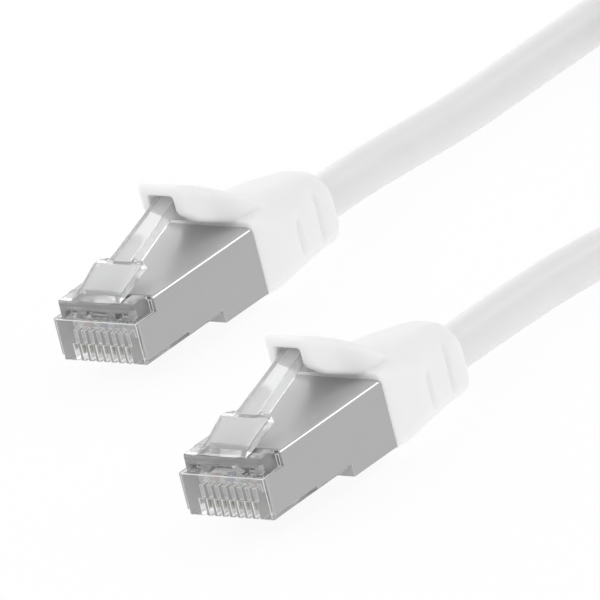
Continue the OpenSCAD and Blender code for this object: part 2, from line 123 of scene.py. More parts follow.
def roundCorners(corners, radius, steps, mostOfSide=0.45):
    # each corner of a row of closed outlines becomes a quadratic arc between points a radius along its sides
    sides = []
    for shift in (1, -1):
        d = np.roll(corners, shift, axis=1) - corners
        n = np.maximum(np.linalg.norm(d, axis=-1, keepdims=True), 1e-9)
        sides.append((corners + d / n * np.minimum(radius, mostOfSide * n))[:, :, None])
    t = np.linspace(0, 1, steps)[:, None]
    ring = (1 - t) ** 2 * sides[0] + 2 * t * (1 - t) * corners[:, :, None] + t ** 2 * sides[1]
    return ring.reshape(len(corners), -1, 2)


def frontPlace(end):
    x, y = plugFronts[end]
    return np.array([x, y, 0.0])


# camera: axes and scale read off the plugs' straight edges
cameraSetup = {
    "lens": 1500.0,
    "sensor": 36.0,
    "clip": (0.05, 12.0),  # m
    "frameWidth": 62.6,  # mm across the picture
    "aim": (-6.08, 13.1, 3.58),
    "right": (0.7677, 0.5968, -0.2319),
    "back": (0.638, -0.684, 0.351),
}


def makeCamera(setup):
    # the camera stands back along one axis until frameWidth fills its frame
    data = bpy.data.cameras.new("studioCamera")
    data.lens = setup["lens"]
    data.sensor_width = setup["sensor"]
    data.clip_start, data.clip_end = setup["clip"]
    away = setup["frameWidth"] * setup["lens"] / setup["sensor"]
    back = Vector(setup["back"]).normalized()
    right = Vector(setup["right"])
    right = (right - back * right.dot(back)).normalized()
    up = back.cross(right)
    spot = (Vector(setup["aim"]) + back * away) * mm
    camera = bpy.data.objects.new("studioCamera", data)
    camera.matrix_world = Matrix((
        (right.x, up.x, back.x, spot.x), (right.y, up.y, back.y, spot.y),
        (right.z, up.z, back.z, spot.z), (0, 0, 0, 1)))
    bpy.context.scene.collection.objects.link(camera)
    bpy.context.scene.camera = camera


makeCamera(cameraSetup)
print("camera placed")

# cord: out of boot a, round the coil and back into boot b
cordShape = {
    "radius": 2.5,
    "sides": 28,
    "exitA": (-21.3, 34.25, 3.6),
    "exitB": (21.3, 1.75, 3.6),
    "inside": 2.0,  # how far the jacket starts inside each boot
    "coilAt": (12.7, 106.0),
    "coilR": 34.0,
    "coilStep": 5.6,
    "layerTurns": 2,
    "liftOverTie": 1.4,
    "perTurn": 72,
    "smoothSteps": 6,
    "shadeAngle": 50,
    # each lead at even steps back to the coil: shares of its swing across, its drop and its climb
    "leadRoute": (
        (0, 0, 0), (0, 0, 0), (0, 0.08, 0), (0, 0.3, 0), (0.025, 0.58, 0),
        (0.1, 0.84, 0), (0.215, 0.99, 0.01), (0.35, 1, 0.1), (0.5, 1, 0.27), (0.65, 1, 0.48),
        (0.79, 1, 0.69), (0.905, 1, 0.87), (0.975, 1, 0.98), (1, 1, 1), (1, 1, 1)),
}


def coilPath(c):
    # turns wind inwards below, climb one step in half a turn, and wind outwards above;
    # t counts turns, and a bump of the sixth power of sine lifts them over the strap
    turns = 2 * c["layerTurns"] + 0.5
    t = np.linspace(0, turns, int(turns * c["perTurn"]) + 1)
    u = t - c["layerTurns"]
    inner = c["coilR"] - c["layerTurns"] * c["coilStep"]
    dip = inner - c["coilStep"] * u * (1 - 2 * u)
    outer = inner + (u - 0.5) * c["coilStep"]
    r = np.where(u < 0, inner - u * c["coilStep"], np.where(u > 0.5, outer, dip))
    a = np.pi - 2 * np.pi * t
    z = c["radius"] + c["coilStep"] * ease(2 * u) + c["liftOverTie"] * np.maximum(0, -np.sin(a)) ** 6
    ring = np.stack([c["coilAt"][0] + r * np.cos(a), c["coilAt"][1] + r * np.sin(a), z], axis=-1)
    run = np.array([0, 2 * c["radius"], 0])
    return np.concatenate([[ring[0] - run], ring, [ring[-1] - run]])


def smoothLine(points, steps):
    # a cubic through all points: each span leaves and arrives along the line between its neighbours
    p = np.concatenate([[2 * points[0] - points[1]], points, [2 * points[-1] - points[-2]]])
    t = np.linspace(0, 1, steps, endpoint=False)[None, :, None]
    a, b, c, d = (p[k: len(p) - 3 + k, None] for k in range(4))
    spans = b + 0.5 * t * (c - a + t * (2 * a - 5 * b + 4 * c - d + t * (3 * b - 3 * c + d - a)))
    return np.concatenate([spans.reshape(-1, 3), points[-1:]])


def leadPath(c, start, stop):
    # y runs evenly, x swings across in the middle, z sinks to the table and then climbs to the coil
    swing, drop, climb = np.array(c["leadRoute"]).T
    x = mix(start[0], stop[0], swing)
    y = np.linspace(start[1], stop[1], len(swing))
    z = mix(mix(start[2], c["radius"], drop), stop[2], climb)
    return smoothLine(np.stack([x, y, z], axis=-1), c["smoothSteps"])


def cordPath(c):
    coil = coilPath(c)
    leadA = leadPath(c, c["exitA"], coil[0])
    leadB = leadPath(c, c["exitB"], coil[-1])[::-1]
    back = np.array([0, c["inside"], 0])
    return np.concatenate([[leadA[0] - back], leadA, coil[1:-1], leadB, [leadB[-1] - back]])


def tubeAlong(path, radius, sides):
    # circles square to the path, each set level by the side that is across both the path and the upright
    step = np.gradient(path, axis=0)
    ahead = step / np.linalg.norm(step, axis=1, keepdims=True)
    side = np.cross(ahead, [0, 0, 1.0])
    side /= np.linalg.norm(side, axis=1, keepdims=True)
    up = np.cross(side, ahead)
    a = (np.linspace(0, 2 * np.pi, sides, endpoint=False) - np.pi / 2)[None, :, None]
    return path[:, None] + radius * (np.cos(a) * side[:, None] + np.sin(a) * up[:, None])


def stripUv(along, around):
    # one uv corner for each quad corner, in the order that gridFaces gives them; the seam's far side is at 1
    near, far = along[:-1], along[1:]
    here, after = around, np.append(around[1:], 1.0)
    pairs = ((near, here), (near, after), (far, after), (far, here))
    corners = [np.stack(np.meshgrid(a, r, indexing="ij"), -1) for a, r in pairs]
    return np.stack(corners, 2).reshape(-1, 2)


def makeCord(c):
    path = cordPath(c)
    points = tubeAlong(path, c["radius"], c["sides"])
    rows, cols = points.shape[:2]
    length = np.concatenate([[0], np.cumsum(np.linalg.norm(np.diff(path, axis=0), axis=1))])
    uv = stripUv(length, np.arange(cols) / cols)
    mesh = meshFromArrays("patchCord", points, gridFaces(rows, cols), uv, endCaps(rows, cols))
    smoothShade(mesh, c["shadeAngle"])
    return addObject("patchCord", mesh), path * mm, length[-1] * mm


cord, cordRoute, cordLength = makeCord(cordShape)
print("cord laid, metres:", round(cordLength, 4))

# tie: a hook-and-loop strap that goes once round the coil and laps over itself on top
tieShape = {
    "width": 10.0,
    "thick": 0.9,
    "nearY": -20.4,  # middle of the strap's thickness, from the coil's centre
    "farY": -33.1,
    "lowZ": 0.5,
    "highZ": 12.8,
    "corner": 2.5,
    "lap": 15.0,  # length that lies double
    "steps": 240,  # once round
    "riseAhead": 14,  # steps before the lap where the strap starts to rise
    "riseSteps": 12,
    "rise": 1.02,  # in thicknesses
    "tipLeast": 0.02,  # keeps the last row of the round tip open
    "edgeShare": 0.45,  # round of the strap's edges, in thicknesses
    "edgeSteps": 6,
    "shadeAngle": 60,
}


def roundedLoop(y0, y1, z0, z1, r, count):
    # a rectangle with round corners, walked by length from the middle of its top towards the plugs:
    # straight legs have even numbers and the corners' arcs have odd ones
    w, h = y1 - y0 - 2 * r, z1 - z0 - 2 * r
    arc = np.pi * r / 2
    total = 2 * (w + h) + 4 * arc
    s = np.linspace(0, total, count, endpoint=False)
    legs = np.cumsum([0, w / 2, arc, h, arc, w, arc, h, arc, w / 2])
    lines = {
        0: ((y0 + y1) / 2, z1, -1, 0), 2: (y0, z1 - r, 0, -1), 4: (y0 + r, z0, 1, 0),
        6: (y1, z0 + r, 0, 1), 8: (y1 - r, z1, -1, 0),
    }
    corners = {
        1: (y0 + r, z1 - r, 90), 3: (y0 + r, z0 + r, 180), 5: (y1 - r, z0 + r, 270), 7: (y1 - r, z1 - r, 0),
    }
    y, z = np.zeros(count), np.zeros(count)
    for k in range(len(legs) - 1):
        on = (s >= legs[k]) & (s < legs[k + 1])
        d = s[on] - legs[k]
        if k in lines:
            startY, startZ, goY, goZ = lines[k]
            y[on], z[on] = startY + goY * d, startZ + goZ * d
        else:
            midY, midZ, turned = corners[k]
            a = np.radians(turned) + d / r
            y[on], z[on] = midY + r * np.cos(a), midZ + r * np.sin(a)
    return np.stack([y, z], -1), total


def makeTie(c, coilAt):
    # a flat strip with round edges is carried once round the loop and then on over itself; it rises by its
    # own thickness where it starts to lie double, and its free end narrows to a round tip
    steps = c["steps"]
    loop, total = roundedLoop(c["farY"], c["nearY"], c["lowZ"], c["highZ"], c["corner"], steps)
    pace = total / steps
    extra = int(c["lap"] / pace)
    line = np.concatenate([loop, loop[:extra]])
    rows = len(line)
    turn = np.gradient(np.concatenate([loop[-2:], line, loop[extra: extra + 2]]), axis=0)[2:-2]
    turn /= np.linalg.norm(turn, axis=1, keepdims=True)
    outward = np.stack([turn[:, 1], -turn[:, 0]], -1)
    rise = c["thick"] * c["rise"] * ease((np.arange(rows) - steps + c["riseAhead"]) / c["riseSteps"])
    line = line + outward * rise[:, None]
    left = np.minimum(1, (rows - 1 - np.arange(rows)) * pace / (c["width"] / 2))
    half = c["width"] / 2 * np.sqrt(np.maximum(c["tipLeast"], 1 - (1 - left) ** 2))
    x = half[:, None] * np.array([1, 1, -1, -1])
    t = np.broadcast_to(c["thick"] / 2 * np.array([-1, 1, 1, -1]), x.shape)
    section = roundCorners(np.stack([x, t], -1), c["edgeShare"] * c["thick"], c["edgeSteps"])
    yz = line[:, None] + outward[:, None] * section[..., 1:]
    points = np.concatenate([section[..., :1], yz], -1) + np.array([*coilAt, 0])
    cols = points.shape[1]
    edge = np.linalg.norm(np.roll(section[0], -1, axis=0) - section[0], axis=1)
    uv = stripUv(np.arange(rows) * pace, (np.cumsum(edge) - edge) / edge.sum())
    mesh = meshFromArrays("coilStrap", points, gridFaces(rows, cols), uv, endCaps(rows, cols))
    smoothShade(mesh, c["shadeAngle"])
    return addObject("coilStrap", mesh)


tie = makeTie(tieShape, cordShape["coilAt"])
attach(tie, "cable")
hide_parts("coil_tie")
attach(cord, "cable")
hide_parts("cable_lead_a", "cable_coil", "cable_lead_b")
print("tie wrapped")

# boots: a tapered moulding with a springy tongue, fused into one skin
bootShape = {
    "front": 20.4,  # distance behind the plug's front face
    "length": 15.6,
    "frontHalf": 5.97,
    "rimHalf": 4.15,
    "sidePace": 1.1,  # the sides have drawn in a little before the rim
    "frontLow": 0.93,
    "heelShare": 0.25,  # share of the length in which the underside comes down to the table
    "lowRound": (0.5, 2.2),  # radius of the lower corners at the front and past the heel
    "brow": 9.5,
    "rimHigh": 8.05,
    "rimRound": 0.8,
    "browShare": 0.42,  # share of the length where the top starts to fall
    "fallPower": 1.7,
    "highRound": (0.8, 3.1),  # radius of the upper corners at the front and further back
    "highShare": 0.5,  # share of the length in which it grows
    "leastFlat": 0.2,
    "grooves": ((8.4, 2.0, 5.8), (12.6, 1.4, 6.9)),  # place behind the front, lower and upper end
    "grooveDepth": 0.5,
    "grooveWide": 0.45,
    "grooveFade": 0.7,
    "grooveSides": (0.5, 0.3),  # shares of the half width: where the groove starts, and how soon it is full
    "hump": 1.9,  # bulge of the boot's top behind the tongue's root
    "humpFall": 2.8,  # distance in which it falls off
    "humpLead": 1.0,  # how far ahead of the root it starts
    "humpRise": 0.8,
    "humpMargin": 0.2,  # what it is wider than the tongue, each side
    "humpSpread": 0.5,  # and how fast it widens towards the rim
    "rootY": 23.0,
    "rootTop": 11.4,
    "rootOver": 1.2,
    "kneeY": 20.75,
    "kneeZ": 13.3,
    "kneeSoft": 0.35,  # round of the knee
    "tipY": 15.2,
    "lidZ": 15.9,
    "lidThick": 1.35,
    "tongueFront": 14.2,
    "tongueHalf": 3.15,
    "tongueRound": 0.6,
    # the walls' lower edge: place behind the tip, height
    "skirt": ((0, 12.9), (0.5, 12.5), (1.8, 11.4), (3.5, 10.5), (6.2, 9.2)),
    "crown": 0.6,  # how much lower the sides of the top are at the knee
    "creaseFrom": 14.7,  # height of the crease along the walls at the tip
    "creaseDrop": 0.144,
    "creaseDepth": 0.05,
    "creaseSoft": 0.7,
    "creaseOut": 2.0,  # least distance from the middle
    "flare": 1.3,  # what the tongue gains in half width towards its root
    "flareFrom": 17.8,
    "flareOver": 4.5,
    "frontRound": 0.9,  # round of the tip seen from above
    "frontShare": 0.8,
    "nip": 0.5,  # round of the tip seen from the side
    "nipGap": 0.1,
    "wall": 1.3,
    "leastWall": 0.3,
    "lip": 0.01,  # half the step at the hollow's edges, as a share of the half width
    "channelHalf": (1.65, 2.6),  # least and most half width of the hollow
    "channelBack": 20.1,
    "channelStep": 0.02,  # half the step at the hollow's end
    "voxel": 0.16,
    "softness": 0.5,
    "softRounds": 8,
    "bend": (9.6, 12.4),  # heights between which the skin passes from the boot to the tongue
    # rows and columns of points on each stretch
    "grid": {"length": 120, "corner": 10, "wall": 25, "nip": 8, "slope": 30, "root": 50, "top": 61,
             "skirt": 16, "hollow": 25, "side": 18},
}


def bootSkin(c):
    # outline at a distance s behind the front: a box with round corners whose sides draw in and whose top
    # rounds over towards the rim; a bulge that falls off exponentially carries the tongue, and bell curves
    # cut the grooves
    grid = c["grid"]
    s = np.linspace(0, c["length"], grid["length"])[:, None]
    t = s / c["length"]
    d = np.clip(s - c["length"] + c["rimRound"], 0, c["rimRound"])
    rim = c["rimRound"] - np.sqrt(c["rimRound"] ** 2 - d * d)
    half = mix(c["frontHalf"], c["rimHalf"], ease(c["sidePace"] * t)) - rim
    heel = np.clip(t / c["heelShare"], 0, 1)
    low = mix(c["frontLow"], 0, heel) + rim
    fall = np.clip((t - c["browShare"]) / (1 - c["browShare"]), 0, 1) ** c["fallPower"]
    high = mix(c["brow"], c["rimHigh"], fall) - rim
    lowR = mix(*c["lowRound"], heel)
    highR = np.minimum(half - c["leastFlat"], mix(*c["highRound"], ease(t / c["highShare"])))
    q = np.linspace(0, np.pi / 2, grid["corner"])[None]
    k = np.linspace(0, 1, grid["wall"])[None, 1:-1]
    wall = mix(low + lowR, high - highR, k)
    x = np.concatenate([
        -half + lowR - lowR * np.cos(q), half - lowR + lowR * np.sin(q), half + 0 * wall,
        half - highR + highR * np.cos(q), mix(half - highR, highR - half, k),
        highR - half - highR * np.sin(q), -half + 0 * wall], 1)
    z = np.concatenate([
        low + lowR - lowR * np.sin(q), low + lowR - lowR * np.cos(q), wall,
        high - highR + highR * np.sin(q), high + 0 * wall,
        high - highR + highR * np.cos(q), wall[:, ::-1]], 1)
    behind = s - (c["rootY"] - c["front"])
    hump = c["hump"] * np.exp(-behind / c["humpFall"]) * ease((behind + c["humpLead"]) / c["humpRise"])
    reach = c["tongueHalf"] + c["humpMargin"] + c["humpSpread"] * np.maximum(0, behind)
    u = np.minimum(1, np.abs(x) / reach)
    z = z + np.where(z > high - highR, hump * (1 - u * u) ** 2, 0)
    sideFrom, sideFull = c["grooveSides"]
    facing = ease((np.abs(x) - sideFrom * half) / (sideFull * half))
    fade = c["grooveFade"]
    for place, z0, z1 in c["grooves"]:
        bell = np.exp(-(((s - place) / c["grooveWide"]) ** 2))
        bell = bell * ease((z - z0 + fade) / (2 * fade)) * ease((z1 + fade - z) / (2 * fade))
        x = x - np.sign(x) * c["grooveDepth"] * bell * facing
    return np.stack([x, np.broadcast_to(c["front"] + s, x.shape), z], -1)


def tongueSkin(c):
    # seen along its length the tongue is an arch with round corners; its lower side steps up into the hollow
    # that takes the latch, its top line slopes to the knee and then drops to the root, and its walls draw in
    # below a curve that falls with the square of the distance from the front
    front, r, soft, lip, grid = c["tongueFront"], c["tongueRound"], c["kneeSoft"], c["lip"], c["grid"]
    y = np.concatenate([
        front + c["nip"] * (1 - np.cos(np.linspace(0, np.pi / 2, grid["nip"]))),
        np.linspace(front + c["nip"] + c["nipGap"], c["channelBack"] - c["channelStep"], grid["slope"]),
        np.linspace(c["channelBack"] + c["channelStep"], c["rootY"] + c["rootOver"], grid["root"])])[:, None]
    back = y - front
    slope = (c["lidZ"] - c["kneeZ"]) / (c["kneeY"] - c["tipY"])
    drop = (c["kneeZ"] - c["rootTop"]) / (c["rootY"] - c["kneeY"])
    above = c["kneeZ"] + slope * (c["kneeY"] - y)
    below = c["kneeZ"] - drop * (y - c["kneeY"])
    high = -soft * np.logaddexp(-above / soft, -below / soft)  # the lower of two lines, with a soft corner
    low = onLine(c["skirt"], back)
    f = np.clip(back / c["nip"], 0, 1)
    nip = c["nip"] * (1 - np.sqrt(1 - (1 - f) ** 2))
    g = np.clip(1 - back / c["frontRound"], 0, 1)
    half = c["tongueHalf"] + c["flare"] * ease((y - c["flareFrom"]) / c["flareOver"])
    half = half - c["frontRound"] * (1 - np.sqrt(1 - g * g)) * c["frontShare"]

    def cornerDrop(share):
        # how far a quarter circle has fallen away near the sides
        past = np.maximum(0, np.abs(share) * half - (half - r))
        return r - np.sqrt(np.maximum(0, r * r - past ** 2))

    crown = c["crown"] * ease((y - c["tipY"]) / (c["kneeY"] - c["tipY"]))
    xt = np.linspace(1, -1, grid["top"])[None]
    topZ = high - nip - crown * xt ** 2 - cornerDrop(xt)
    hollow = np.minimum(np.clip(half - c["wall"], *c["channelHalf"]), half - c["leastWall"]) / half
    edge, middle = np.linspace(0, 1, grid["skirt"]), np.linspace(0, 1, grid["hollow"])
    xb = np.concatenate([
        mix(-1, -hollow - lip, edge), mix(lip - hollow, hollow - lip, middle), mix(hollow + lip, 1, edge)], 1)
    ceiling = c["lidZ"] - c["lidThick"] - slope * (y - c["tipY"])
    inHollow = (np.abs(xb) < hollow) & (y < c["channelBack"])
    lowZ = np.where(inHollow, ceiling, low + nip + cornerDrop(xb))
    k = np.linspace(0, 1, grid["side"])[None, 1:-1]
    left, right = mix(topZ[:, -1:], lowZ[:, :1], k), mix(lowZ[:, -1:], topZ[:, :1], k)
    x = np.concatenate([xt * half, -half + 0 * left, xb * half, half + 0 * right], 1)
    z = np.concatenate([topZ, left, lowZ, right], 1)
    crease = c["creaseFrom"] - c["creaseDrop"] * back ** 2
    drawn = c["creaseDepth"] * ease((crease - z) / c["creaseSoft"] + 0.5)
    x = x - np.sign(x) * np.where(np.abs(x) > c["creaseOut"], drawn, 0)
    return np.stack([x, np.broadcast_to(y, x.shape), z], -1)


def makeBoot(end, c):
    # both skins are closed, then a fine voxel skin joins them and smoothing rounds the seam as in a mould
    name = "mouldedBoot_" + end
    place = frontPlace(end)
    points, faces, caps, base = [], [], [], 0
    for skin in (bootSkin(c), tongueSkin(c)):
        rows, cols = skin.shape[:2]
        faces.append(gridFaces(rows, cols) + base)
        caps += endCaps(rows, cols, base)
        points.append(skin.reshape(-1, 3) + place)
        base += rows * cols
    mesh = meshFromArrays(name, np.concatenate(points), np.concatenate(faces), None, caps)
    faceOutwards(mesh)
    obj = addObject(name, mesh)
    fused = obj.modifiers.new("fuse", "REMESH")
    fused.mode = "VOXEL"
    fused.voxel_size = c["voxel"] * mm
    soft = obj.modifiers.new("soften", "SMOOTH")
    soft.factor = c["softness"]
    soft.iterations = c["softRounds"]
    bakeModifiers(obj)
    obj.data.shade_smooth()
    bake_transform(obj)
    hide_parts("boot_" + end, "tongue_" + end)
    return obj


boots = [makeBoot(end, bootShape) for end in plugFronts]
print("boots moulded, faces:", [len(b.data.polygons) for b in boots])

# latches: a wide blade with a foot on the nose block, shoulders, and a thick tail that goes under the tongue
latchShape = {
    # lines seen from the side: place behind the front, height
    "top": ((0.75, 9.0), (0.95, 9.22), (2.0, 9.7), (6.2, 11.48), (15.2, 14.4), (16.2, 13.6)),
    "under": ((0.75, 8.93), (2.1, 8.93), (6.2, 10.5), (6.9, 10.35), (15.2, 13.1), (16.2, 13.42)),
    "bladeHalf": ((0.75, 3.3), (1.6, 3.1), (2.4, 3.05), (5.9, 3.3)),
    "footEnd": 2.4,
    "shoulder": (5.85, 0.6),  # where the corner starts to round off, and its length
    "undercut": 0.45,  # how far the shoulders' lower edge stands behind the upper one
    "tail": (7.1, 15.1),
    "tailTop": (1.5, 1.33),  # half widths at the shoulders and at the tip
    "tailLow": (1.6, 1.42),
    "tailSides": (0.35, 0.6),  # two heights on the tail's sides, as shares from the top
    "ridge": 0.2,  # the tail stands this much above the blade
    "ridgeFrom": 5.3,
    "ridgeOver": 0.9,
    "ridgeFoot": 0.2,  # width of the slope beside it
    "edge": 0.13,
    "edgeSteps": 5,
    "shadeAngle": 40,
    "bend": (1.8, 3.4),  # places between which the blade passes from the plug to the moving latch
    # rows of points on each stretch
    "grid": {"foot": 16, "blade": 24, "corner": 14, "undercut": 10, "tail": 30, "tip": 8},
}


def latchSkin(c):
    # outline at a distance y behind the front: a blade and a tail bar with sloped sides on it; the half width
    # of the blade ends in a quarter of an ellipse at the shoulders, and only the bar runs on from there
    y0, run = c["shoulder"]
    grid = c["grid"]
    corner = y0 + run * np.sin(np.linspace(0, np.pi / 2, grid["corner"]))
    front, tipFrom, tipEnd = (c["top"][k][0] for k in (0, -2, -1))
    y = np.concatenate([
        np.linspace(front, c["footEnd"], grid["foot"])[:-1],
        np.linspace(c["footEnd"], y0, grid["blade"])[:-1],
        corner,
        corner[-1] + c["undercut"] * np.linspace(1 / grid["undercut"], 1, grid["undercut"]),
        np.linspace(*c["tail"], grid["tail"]),
        np.linspace(tipFrom, tipEnd, grid["tip"])])[:, None]
    top, under, blade = (onLine(c[line], y) for line in ("top", "under", "bladeHalf"))
    along = np.clip((y - corner[-1]) / (tipFrom - corner[-1]), 0, 1)
    tailTop, tailLow = mix(*c["tailTop"], along), mix(*c["tailLow"], along)

    def half(back):
        u = np.clip((y - back - y0) / run, 0, 1)
        return tailLow + np.maximum(0, blade - tailLow) * np.sqrt(1 - u * u)

    wide, wideLow = half(0), half(c["undercut"])
    onBlade = 1 - ease((y - corner[-1]) / c["undercut"])
    step = top - c["ridge"] * ease((y - c["ridgeFrom"]) / c["ridgeOver"])
    bar = [mix(tailTop, tailLow, k) for k in c["tailSides"]]
    barZ = [mix(top, under, k) for k in c["tailSides"]]
    foot = np.minimum(tailTop + c["ridgeFoot"], wide)
    x = np.concatenate([tailTop, mix(bar[0], foot, onBlade), mix(bar[1], wide, onBlade), wideLow], 1)
    z = np.concatenate([top, mix(barZ[0], step, onBlade), mix(barZ[1], step, onBlade), under], 1)
    rows = np.stack([np.concatenate([x, -x[:, ::-1]], 1), np.concatenate([z, z[:, ::-1]], 1)], -1)
    ring = roundCorners(rows, c["edge"], c["edgeSteps"])
    return np.stack([ring[..., 0], np.broadcast_to(y, ring.shape[:2]), ring[..., 1]], -1)


def makeLatch(end, c):
    name = "clearLatch_" + end
    place = frontPlace(end)
    skin = latchSkin(c) + place
    rows, cols = skin.shape[:2]
    mesh = meshFromArrays(name, skin, gridFaces(rows, cols), None, endCaps(rows, cols))
    faceOutwards(mesh)
    smoothShade(mesh, c["shadeAngle"])
    obj = addObject(name, mesh)
    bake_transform(obj)
    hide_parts("latch_" + end)
    return obj


latches = [makeLatch(end, latchShape) for end in plugFronts]
print("latches formed")

# plug pieces: copies of the solids with rounded edges, which catch the light; the housing's rounds also carry
# a painted highlight
plugShapes = {
    "housing": {"edge": 0.07, "slot": "clear_plastic"},
    "load_bar": {"edge": 0.05, "slot": "clear_plastic"},
    "shield": {"edge": 0.04, "slot": "shield_steel"},
}
# upper front edges of the housing's nose block, and the lowest height of the face below them
browRound = {"y": 0.4, "z": 8.9, "half": 5.1, "radius": 0.45, "steps": 6, "faceLow": 7.0}
edgeRules = {
    "merge": 2e-6,  # m
    "touch": 5e-6,  # m, what counts as lying on a plane
    "flatAngle": 1.0,
    "sharpAngle": 40,
    "room": 3,  # least length of a rounded edge, in rounds
    "segments": 2,
    "shadeAngle": 35,
}


def roundBrow(bm, end, c):
    # the block's upper front edge and the two upright edges below it get a wide round; the corners that are
    # handed back, those of the round and of the face below it, have no room for a second one
    x, y = plugFronts[end]

    def lies(vert, axis, value):
        return abs(vert.co[axis] - value * mm) < edgeRules["touch"]

    def near(edge, axis, value):
        return all(lies(v, axis, value) for v in edge.verts)

    front = [e for e in bm.edges if near(e, 1, y + c["y"])]
    sides = (x + c["half"], x - c["half"])
    picked = [e for e in front if near(e, 2, c["z"]) or any(near(e, 0, side) for side in sides)]
    made = bmesh.ops.bevel(bm, geom=picked, offset=c["radius"] * mm, segments=c["steps"], profile=0.5,
                           affect="EDGES", clamp_overlap=True)
    face = {v for v in bm.verts if lies(v, 1, y + c["y"]) and v.co.z > c["faceLow"] * mm}
    return face.union(made["verts"])


def roundedCopy(kind, end, c):
    # only sharp edges with room for a round get one
    name = f"{kind}Round_{end}"
    mesh = nodes[f"{kind}_{end}"].data.copy()
    mesh.name = name
    bm = bmesh.new()
    bm.from_mesh(mesh)
    bmesh.ops.remove_doubles(bm, verts=bm.verts, dist=edgeRules["merge"])
    flat = np.radians(edgeRules["flatAngle"])
    bmesh.ops.dissolve_limit(bm, angle_limit=flat, verts=bm.verts, edges=bm.edges)
    crowded = roundBrow(bm, end, browRound) if kind == "housing" else set()
    weight = bm.edges.layers.float.new("bevel_weight_edge")
    sharpFrom = np.radians(edgeRules["sharpAngle"])
    for edge in bm.edges:
        sharp = len(edge.link_faces) == 2 and edge.calc_face_angle() > sharpFrom
        roomy = edge.calc_length() > edgeRules["room"] * c["edge"] * mm
        if sharp and roomy and crowded.isdisjoint(edge.verts):
            edge[weight] = 1.0
    bm.to_mesh(mesh)
    bm.free()
    obj = addObject(name, mesh)
    bevel = obj.modifiers.new("edges", "BEVEL")
    bevel.width = c["edge"] * mm
    bevel.segments = edgeRules["segments"]
    bevel.limit_method = "WEIGHT"
    bevel.use_clamp_overlap = False  # one short edge would thin all the rounds
    if kind == "housing":
        # painted highlight: the housing's rounds take a paler, nearly opaque finish
        bevel.material = 1  # the rounds take the paler second finish
    smoothShade(mesh, edgeRules["shadeAngle"])
    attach(obj, "cable")
    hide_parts(f"{kind}_{end}")
    return obj


plugPieces = {
    (kind, end): roundedCopy(kind, end, shape) for end in plugFronts for kind, shape in plugShapes.items()}
print("plug pieces rounded:", len(plugPieces))


# shared shader groups
def feed(tree, socket, value):
    # links another node's output, or sets a plain value
    if hasattr(value, "is_output"):
        tree.links.new(value, socket)
    else:
        socket.default_value = value


def newGroup(name, inputs, outputs):
    # a group that takes a vector and named numbers, and puts out named numbers
    group = bpy.data.node_groups.new(name, "ShaderNodeTree")
    group.interface.new_socket(name="Vector", in_out="INPUT", socket_type="NodeSocketVector")
    for label, value in inputs.items():
        socket = group.interface.new_socket(name=label, in_out="INPUT", socket_type="NodeSocketFloat")
        socket.default_value = value
    for label in outputs:
        group.interface.new_socket(name=label, in_out="OUTPUT", socket_type="NodeSocketFloat")
    return group, group.nodes.new("NodeGroupInput").outputs, group.nodes.new("NodeGroupOutput").inputs


def noiseNode(tree, vector, scale, detail, rough):
    node = tree.nodes.new("ShaderNodeTexNoise")
    for label, value in (("Vector", vector), ("Scale", scale), ("Detail", detail), ("Roughness", rough)):
        feed(tree, node.inputs[label], value)
    return node.outputs["Fac"]


def mathNode(tree, kind, *values, clamp=False):
    node = tree.nodes.new("ShaderNodeMath")
    node.operation = kind
    node.use_clamp = clamp
    for socket, value in zip(node.inputs, values):
        feed(tree, socket, value)
    return node.outputs[0]


def weightedSum(tree, *terms, clamp=False):
    # two outputs added up, each times its own weight
    parts = [value if weight == 1 else mathNode(tree, "MULTIPLY", value, weight) for value, weight in terms]
    return mathNode(tree, "ADD", *parts, clamp=clamp)


wideSpan = (0.2, 0.8)  # holds almost all values of a noise
coreSpan = (0.3, 0.7)  # holds most of them


def rangeNode(tree, value, span, to=(0, 1)):
    # stretches a span of values to another one
    node = tree.nodes.new("ShaderNodeMapRange")
    tree.links.new(value, node.inputs["Value"])
    for label, number in zip(("From Min", "From Max", "To Min", "To Max"), (*span, *to)):
        node.inputs[label].default_value = number
    return node.outputs["Result"]


def stretchNode(tree, vector, scale, turn=(0, 0, 0)):
    node = tree.nodes.new("ShaderNodeMapping")
    node.inputs["Rotation"].default_value = turn
    node.inputs["Scale"].default_value = scale
    tree.links.new(vector, node.inputs["Vector"])
    return node.outputs["Vector"]


def mixNode(tree, kind, mask, a, b):
    node = tree.nodes.new("ShaderNodeMix")
    node.data_type = kind
    for label, value in (("Factor", mask), ("A", a), ("B", b)):
        feed(tree, node.inputs[label], value)
    return node.outputs["Result"]


def mouldGrainGroup():
    # fine sparkle of a tooled mould over slow waves of the same surface
    group, given, out = newGroup("mouldGrain", {"Grain": 9000.0, "Wave": 260.0}, ("Height", "Tone"))
    fine = noiseNode(group, given["Vector"], given["Grain"], detail=3, rough=0.6)
    slow = noiseNode(group, given["Vector"], given["Wave"], detail=2, rough=0.5)
    group.links.new(weightedSum(group, (fine, 0.5), (slow, 1)), out["Height"])
    group.links.new(slow, out["Tone"])
    return group


def handlingGroup():
    # faint finger marks and a few hair scratches, as two masks
    group, given, out = newGroup("handlingMarks", {"Patch": 180.0}, ("Smudge", "Scratch"))
    patch = noiseNode(group, given["Vector"], given["Patch"], detail=4, rough=0.62)
    group.links.new(rangeNode(group, patch, span=(0.5, 0.72)), out["Smudge"])
    stretched = stretchNode(group, given["Vector"], scale=(2600, 90, 900), turn=(0.2, 0.1, 0.35))
    hair = noiseNode(group, stretched, scale=1, detail=1, rough=0.4)
    group.links.new(rangeNode(group, hair, span=(0.7, 0.76)), out["Scratch"])
    return group


